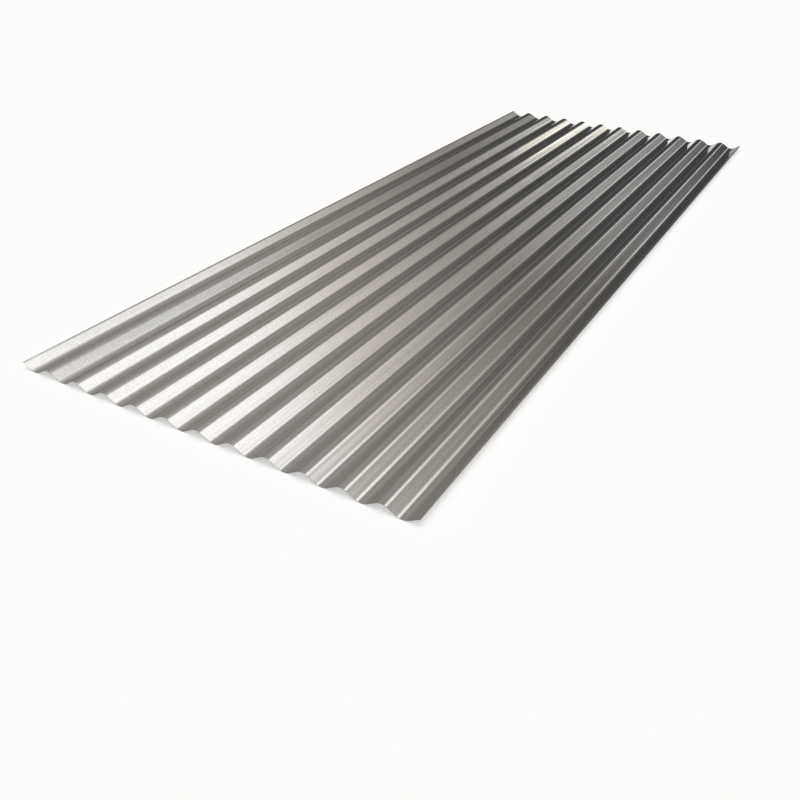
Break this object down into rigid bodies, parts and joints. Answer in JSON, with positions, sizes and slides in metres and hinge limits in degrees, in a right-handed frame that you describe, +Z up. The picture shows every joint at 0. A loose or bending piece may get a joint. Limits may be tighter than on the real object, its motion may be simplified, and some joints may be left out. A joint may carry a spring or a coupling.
{
  "type": "corrugated metal sheet",
  "caption": "Galvanised steel roofing sheet rolled into rounded waves along its length, with both long edges turned up, for roofs, walls, fences and stacking nested.",
  "frame": {"origin": "on the floor under the middle of the sheet, below its middle crest", "axes": "+Y along the waves, +X across them, +Z up from the troughs to the crests"},
  "size_m": [0.9, 2.4, 0.016],
  "materials": {
    "galvanised_steel": "hot-dip galvanised, fine spangle, satin"
  },
  "bodies": {
    "root": {"corrugated_sheet": "galvanised_steel"}
  },
  "joints": []
}
